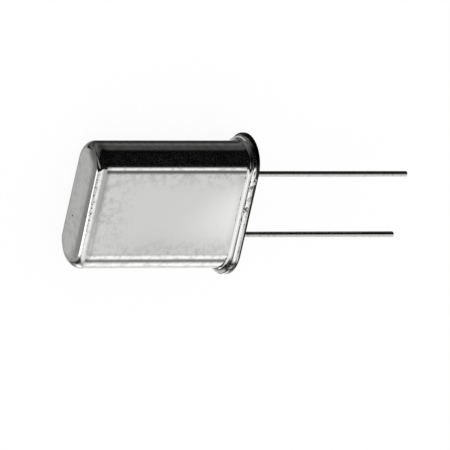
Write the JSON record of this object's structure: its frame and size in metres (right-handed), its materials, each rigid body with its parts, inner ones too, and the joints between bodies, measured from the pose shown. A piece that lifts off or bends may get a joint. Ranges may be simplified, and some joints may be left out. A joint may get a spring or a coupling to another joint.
{
  "type": "crystal oscillator",
  "caption": "Quartz crystal unit in a tall flat metal can, welded by its flange to a base with glass-sealed wire leads.",
  "frame": {"origin": "centre of the base's seating face, midway between the two leads", "axes": "+X along the leads toward their tips, +Y the wide way across the can toward the left lead, +Z out of the can's upper wide face"},
  "size_m": [0.0275, 0.0108, 0.0046],
  "materials": {
    "can_steel": "bright nickel-plated drawn steel with faint handling marks",
    "base_alloy": "nickel-plated stamped iron-nickel-cobalt sealing alloy",
    "weld_metal": "resistance-weld metal, silvery with dark specks",
    "seal_glass": "fused dark sealing glass",
    "lead_wire": "solder-coated round wire",
    "clip_strip": "thin nickel-silver spring strip",
    "quartz": "lapped clear quartz",
    "silver_film": "evaporated silver film",
    "silver_cement": "silver-filled conductive epoxy"
  },
  "bodies": {
    "root": {"cover": "can_steel", "base_plate": "base_alloy", "weld_seam": "weld_metal", "glass_bead_left": "seal_glass", "glass_bead_right": "seal_glass", "lead_left": "lead_wire", "lead_right": "lead_wire", "spring_clip_left": "clip_strip", "spring_clip_right": "clip_strip", "quartz_blank": "quartz", "electrode_top": "silver_film", "electrode_bottom": "silver_film", "cement_left": "silver_cement", "cement_right": "silver_cement"}
  },
  "joints": []
}
